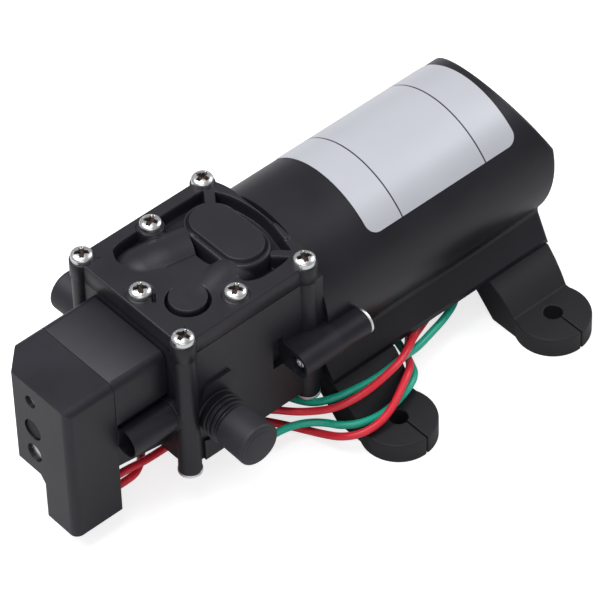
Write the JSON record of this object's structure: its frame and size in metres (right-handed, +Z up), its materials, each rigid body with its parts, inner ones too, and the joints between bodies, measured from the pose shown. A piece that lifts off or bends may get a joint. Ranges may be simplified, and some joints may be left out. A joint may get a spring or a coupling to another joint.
{
  "type": "diaphragm pump",
  "caption": "Small electric diaphragm water pump with a cylindrical motor, a screwed valve cover, a pressure switch box, capped side ports, rubber feet and loose leads",
  "frame": {"origin": "centre of the outline at the level that the rubber feet stand on", "axes": "+X along the motor shaft towards the rear of the motor, +Y to the inlet side, +Z up"},
  "size_m": [0.1646, 0.1014, 0.0636],
  "materials": {
    "housing_plastic": "fine satin moulding, black",
    "head_plastic": "satin moulding, black",
    "switch_plastic": "satin moulding, black",
    "port_plastic": "satin moulding, black",
    "cap_rubber": "soft matte",
    "foot_rubber": "soft matte",
    "label_film": "smooth silver-white film",
    "bright_steel": "bright zinc plated",
    "dark_steel": "plain",
    "magnet": "sintered ferrite",
    "copper": "enamelled wire",
    "carbon": "carbon brush",
    "board": "brush plate",
    "seal_rubber": "rubber",
    "valve_plastic": "natural nylon",
    "lead_red": "smooth insulation",
    "lead_green": "smooth insulation",
    "tinned": "tinned copper"
  },
  "bodies": {
    "pump": {"valve_cover": "head_plastic", "cover_screws": "bright_steel", "cover_seal": "seal_rubber", "riser_seals": "seal_rubber", "valve_plate": "valve_plastic", "check_valves": "seal_rubber", "diaphragm": "seal_rubber", "pump_head": "head_plastic", "inlet_port": "port_plastic", "outlet_port": "port_plastic", "motor_housing": "housing_plastic", "motor_can": "dark_steel", "field_magnets": "magnet", "front_bearing": "bright_steel", "rear_bearing": "bright_steel", "brush_plate": "board", "brushes": "carbon", "motor_label": "label_film", "foot_front_left": "foot_rubber", "foot_front_right": "foot_rubber", "foot_rear_left": "foot_rubber", "foot_rear_right": "foot_rubber", "switch_body": "switch_plastic", "switch_cover": "switch_plastic", "switch_screws": "bright_steel", "switch_mount_screws": "bright_steel", "adjusting_spring": "bright_steel", "switch_diaphragm": "seal_rubber", "microswitch": "switch_plastic", "joint_screws": "bright_steel", "joint_nuts": "bright_steel", "corner_nuts": "bright_steel", "lead_grommet": "seal_rubber", "lead_red_link": "lead_red", "lead_red_supply": "lead_red", "lead_green_supply": "lead_green", "lead_ends": "tinned"},
    "rotor": {"motor_shaft": "dark_steel", "armature_core": "dark_steel", "armature_windings": "copper", "commutator": "copper", "eccentric": "dark_steel", "eccentric_bearing": "bright_steel"},
    "rocker_arm": {"rocker": "valve_plastic", "diaphragm_plungers": "bright_steel"},
    "pressure_plunger": {"switch_plunger": "valve_plastic"},
    "switch_button": {"microswitch_button": "valve_plastic"},
    "adjuster": {"adjusting_screw": "dark_steel"},
    "spring_nut": {"spring_seat": "dark_steel"},
    "inlet_dust_cap": {"inlet_cap": "cap_rubber"},
    "outlet_dust_cap": {"outlet_cap": "cap_rubber"}
  },
  "joints": [
    {"name": "rotor_spin", "type": "hinge", "parent": "pump", "child": "rotor", "pos_m": [0, 0, 0.0384], "axis": [1, 0, 0], "continuous": true},
    {"name": "rocker_swing", "type": "hinge", "parent": "pump", "child": "rocker_arm", "pos_m": [-0.0145, 0, 0.0513], "axis": [1, 0, 0], "range_deg": [-4.4, 4.4], "stiffness_Nm_per_rad": 0.3, "deforming": ["diaphragm"]},
    {"name": "plunger_slide", "type": "slide", "parent": "pump", "child": "pressure_plunger", "axis": [-1, 0, 0], "range_m": [0, 0.0012], "stiffness_N_per_m": 1500, "springref_m": -0.002, "deforming": ["adjusting_spring", "switch_diaphragm"]},
    {"name": "button_slide", "type": "slide", "parent": "pump", "child": "switch_button", "axis": [-1, 0, 0], "range_m": [0, 0.0012]},
    {"name": "adjuster_turn", "type": "hinge", "parent": "pump", "child": "adjuster", "pos_m": [-0.0782, 0, 0.0372], "axis": [1, 0, 0], "range_deg": [-365, 365]},
    {"name": "spring_nut_slide", "type": "slide", "parent": "pump", "child": "spring_nut", "axis": [1, 0, 0], "range_m": [-0.0005, 0.0005], "deforming": ["adjusting_spring"]},
    {"name": "inlet_cap_pull", "type": "slide", "parent": "pump", "child": "inlet_dust_cap", "axis": [0, 1, 0], "range_m": [0, 0.016]},
    {"name": "outlet_cap_pull", "type": "slide", "parent": "pump", "child": "outlet_dust_cap", "axis": [0, -1, 0], "range_m": [0, 0.016]}
  ],
  "couplings": [
    {"joint": "button_slide", "follows": "plunger_slide", "ratio": 1},
    {"joint": "adjuster_turn", "follows": "spring_nut_slide", "rad_per_m": 12565}
  ]
}
